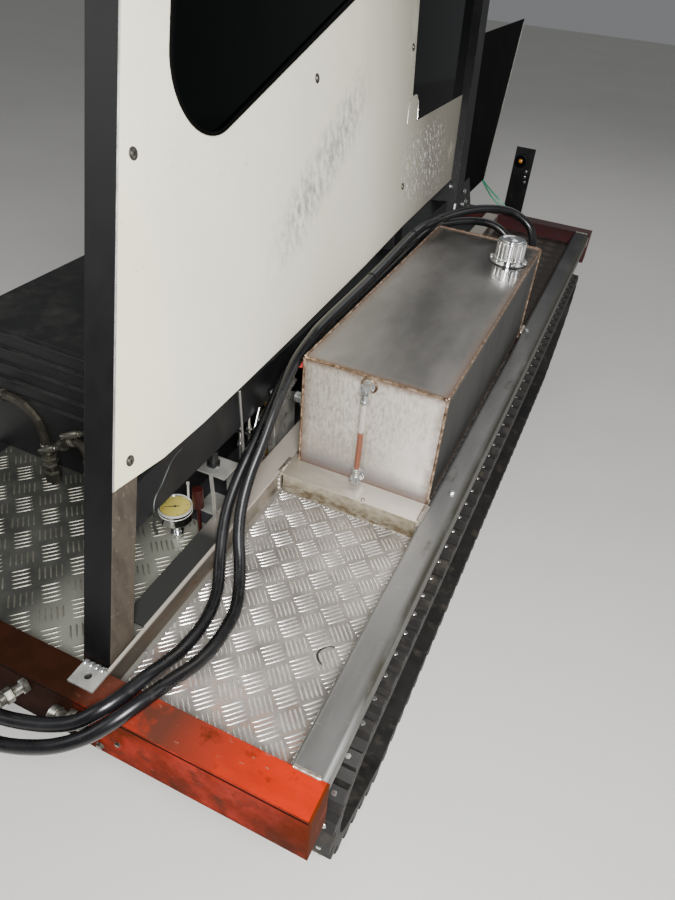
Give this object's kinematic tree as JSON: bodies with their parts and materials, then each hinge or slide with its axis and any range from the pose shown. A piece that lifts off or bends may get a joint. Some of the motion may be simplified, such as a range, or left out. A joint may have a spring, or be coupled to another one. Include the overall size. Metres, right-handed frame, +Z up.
{
  "type": "snow groomer side section with oil tank and track unit",
  "caption": "Right-hand side section of a snow groomer: tread-plate deck with hydraulic oil tank, cab side above and rubber track unit below.",
  "frame": {"origin": "on the ground under the middle of the rubber track, half way along it", "axes": "+X outboard (the machine's right-hand side), +Y forward, +Z up"},
  "size_m": [1.05, 2.9305, 1.9505],
  "materials": {
    "red_frame": "worn orange-red paint",
    "dark_red_frame": "dark red paint",
    "bare_steel": "mill scale and bright wear",
    "rusty_steel": "bare steel with rust tint",
    "tread_plate": "five-bar pattern, scuffed",
    "black_frame": "satin black paint",
    "track_rubber": "dusty black rubber",
    "gear_steel": "oily cast steel",
    "tank_steel": "bare steel, heat-tinted welds",
    "bright_chrome": "polished",
    "zinc": "zinc plated",
    "clear_tube": "clear plastic tube",
    "red_oil": "red hydraulic oil",
    "white_panel": "dirty white paint",
    "window": "dark tinted glass",
    "seal_rubber": "black rubber profile",
    "hose_rubber": "black hydraulic hose",
    "brass_part": "dull brass",
    "alu": "machined aluminium",
    "dial_face": "yellow dial",
    "black_plastic": "black plastic",
    "amber_lens": "amber lens"
  },
  "bodies": {
    "side_section": {"rear_beam": "red_frame", "front_beam": "dark_red_frame", "outer_rail": "bare_steel", "inner_rail": "rusty_steel", "middle_tube": "black_frame", "deck_plate": "tread_plate", "floor_plate": "tread_plate", "under_pan": "black_plastic", "cross_bearers": "black_frame", "chassis_rail": "black_frame", "track": "track_rubber", "track_frame": "black_frame", "road_wheels": "gear_steel", "drive_sprocket": "gear_steel", "drive_motor": "gear_steel", "idler_wheel": "gear_steel", "carrier_rollers": "gear_steel", "oil_tank": "tank_steel", "tank_cradle": "rusty_steel", "filler_flange": "bright_chrome", "sight_fittings": "zinc", "sight_tube": "clear_tube", "sight_oil": "red_oil", "rear_post": "black_frame", "front_post": "black_frame", "side_frame": "black_frame", "side_panel": "white_panel", "nose_panel": "black_frame", "window_seals": "seal_rubber", "window_glass": "window", "engine_cover": "black_plastic", "hose_inner": "hose_rubber", "hose_outer": "hose_rubber", "tank_ports": "zinc", "quick_couplers": "zinc", "lug_plate": "zinc", "gauge_case": "zinc", "gauge_dial": "dial_face", "valve_block": "alu", "brass_fitting": "brass_part", "steel_elbows": "zinc", "switch_bracket": "zinc", "limit_switch": "black_plastic", "lever_rods": "zinc", "lamp_bracket": "black_frame", "work_lamp": "amber_lens"},
    "cap": {"filler_cap": "bright_chrome"}
  },
  "joints": [
    {"name": "cap_lift", "type": "slide", "parent": "side_section", "child": "cap", "axis": [0, 0, 1], "range_m": [0, 0.09]}
  ]
}
